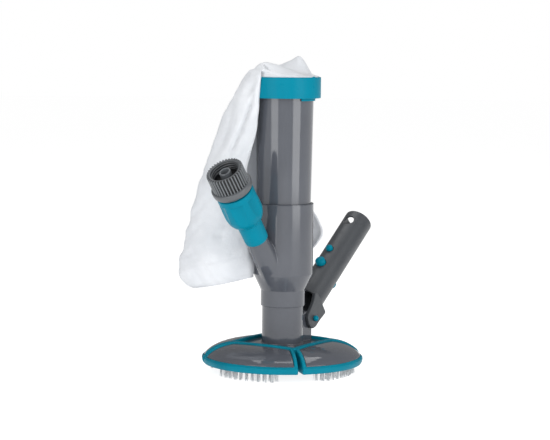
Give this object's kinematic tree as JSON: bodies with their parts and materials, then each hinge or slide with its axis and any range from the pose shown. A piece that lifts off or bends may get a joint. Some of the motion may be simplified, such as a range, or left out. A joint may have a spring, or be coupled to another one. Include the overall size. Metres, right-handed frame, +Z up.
{
  "type": "pool cleaner",
  "caption": "Hose-jet pool vacuum: round brush head, neck, wye body with inclined hose inlet, riser tube with filter bag, and folding pole handle.",
  "frame": {"origin": "on the neck's axis, on the surface that the bristle tips stand on", "axes": "+Z up along the neck and riser, -Y towards the hose inlet, +Y towards the pole handle, +X to the right"},
  "size_m": [0.1791, 0.2688, 0.321],
  "materials": {
    "teal_rubber": "soft moulded rubber-like overmould, satin",
    "teal_plastic": "satin moulded plastic",
    "grey_plastic": "glossy moulded plastic",
    "panel_plastic": "high-gloss moulded plastic",
    "handle_plastic": "satin moulded plastic",
    "nut_plastic": "satin moulded plastic",
    "dark_plastic": "satin moulded plastic",
    "black_rubber": "matt rubber",
    "bag_fabric": "fine woven white fabric",
    "bristle_nylon": "near-clear nylon bristles",
    "spring_steel": "bare steel"
  },
  "bodies": {
    "base": {"head_frame": "teal_rubber", "petal_right": "panel_plastic", "petal_back": "panel_plastic", "petal_left": "panel_plastic", "petal_front": "panel_plastic", "brush_strip_right": "bristle_nylon", "brush_strip_back": "bristle_nylon", "brush_strip_left": "bristle_nylon", "brush_strip_front": "bristle_nylon", "petal_screw_right": "spring_steel", "petal_screw_back": "spring_steel", "petal_screw_left": "spring_steel", "petal_screw_front": "spring_steel", "neck": "grey_plastic", "wye_body": "grey_plastic", "jet_nozzle": "dark_plastic", "riser_tube": "grey_plastic", "coupler_sleeve": "teal_plastic", "coupler_body": "teal_plastic", "inlet_spigot": "dark_plastic"},
    "swivel_nut": {"hose_nut": "nut_plastic", "hose_washer": "black_rubber"},
    "bag_assembly": {"bag_collar": "teal_plastic", "bag_retaining_ring": "dark_plastic", "mesh_bag": "bag_fabric"},
    "handle": {"handle_tube": "handle_plastic", "pivot_pin": "teal_plastic", "pivot_cap": "teal_plastic", "clip_spring": "spring_steel"},
    "clip_upper": {"clip_arm_upper": "teal_plastic"},
    "clip_lower": {"clip_arm_lower": "teal_plastic"}
  },
  "joints": [
    {"name": "handle_hinge", "type": "hinge", "parent": "base", "child": "handle", "pos_m": [0, 0.0332, 0.0522], "axis": [1, 0, 0], "range_deg": [-40, 25]},
    {"name": "hose_nut_swivel", "type": "hinge", "parent": "base", "child": "swivel_nut", "pos_m": [0, -0.09436, 0.20197], "axis": [0, -0.6088, 0.7934], "continuous": true},
    {"name": "bag_collar_lift", "type": "slide", "parent": "base", "child": "bag_assembly", "axis": [0, 0, 1], "range_m": [0, 0.03]},
    {"name": "clip_upper_press", "type": "slide", "parent": "handle", "child": "clip_upper", "axis": [0, 0.628, -0.7782], "range_m": [0, 0.005], "stiffness_N_per_m": 600, "springref_m": -0.002, "deforming": ["clip_spring"]},
    {"name": "clip_lower_press", "type": "slide", "parent": "handle", "child": "clip_lower", "axis": [0, -0.628, 0.7782], "range_m": [0, 0.005], "stiffness_N_per_m": 600, "springref_m": -0.002, "deforming": ["clip_spring"]}
  ]
}
